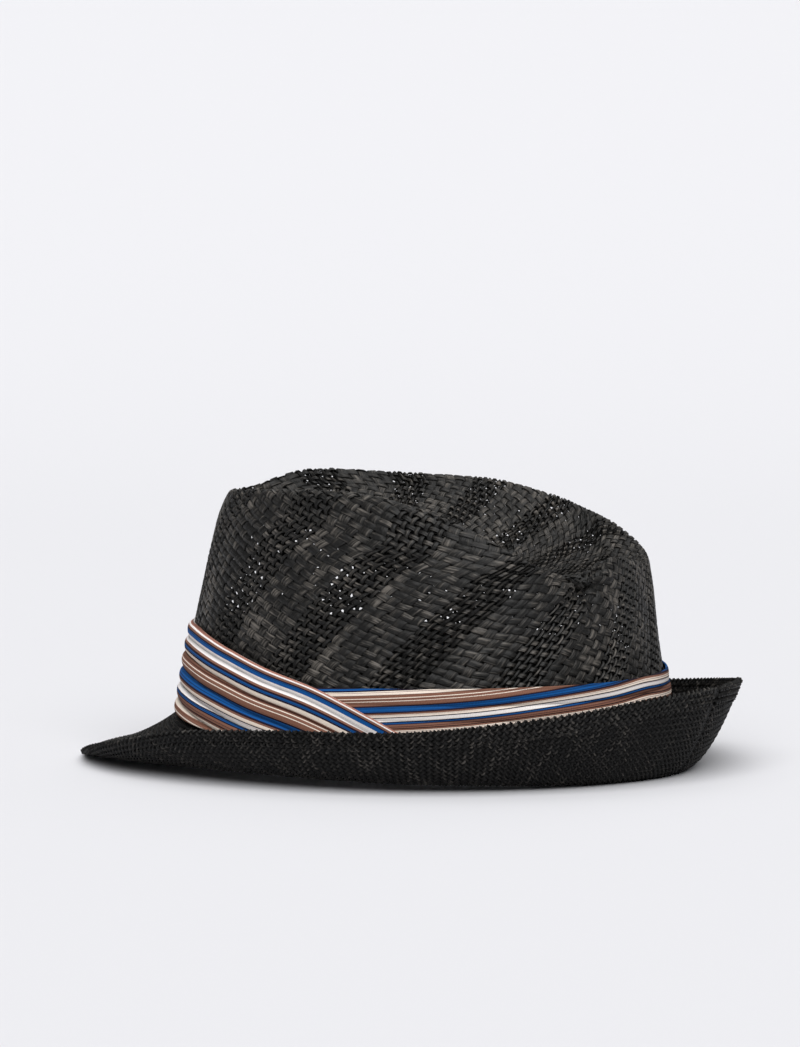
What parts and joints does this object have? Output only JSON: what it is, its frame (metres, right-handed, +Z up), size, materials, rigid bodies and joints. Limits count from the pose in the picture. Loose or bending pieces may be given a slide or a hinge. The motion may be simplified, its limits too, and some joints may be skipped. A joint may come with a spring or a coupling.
{
  "type": "trilby hat of woven paper straw with a pleated cloth band",
  "caption": "Short-brimmed straw trilby with a teardrop crown, brim down in front and turned up behind, and a crossed striped cloth band.",
  "frame": {"origin": "middle of the hat's outline in plan, on the surface that it rests on", "axes": "+Z up, -X towards the front of the hat, -Y towards the wearer's left side"},
  "size_m": [0.2736, 0.2436, 0.1133],
  "materials": {
    "crown_straw": "open plain weave of twisted black paper straw, flat strands with a soft satin sheen",
    "brim_straw": "close plain weave of black paper straw on the bias, with a folded edge",
    "band_cloth": "pleated ribbed cloth with lengthwise brown, cream and blue stripes"
  },
  "bodies": {
    "root": {"crown": "crown_straw", "brim": "brim_straw", "band": "band_cloth"}
  },
  "joints": []
}
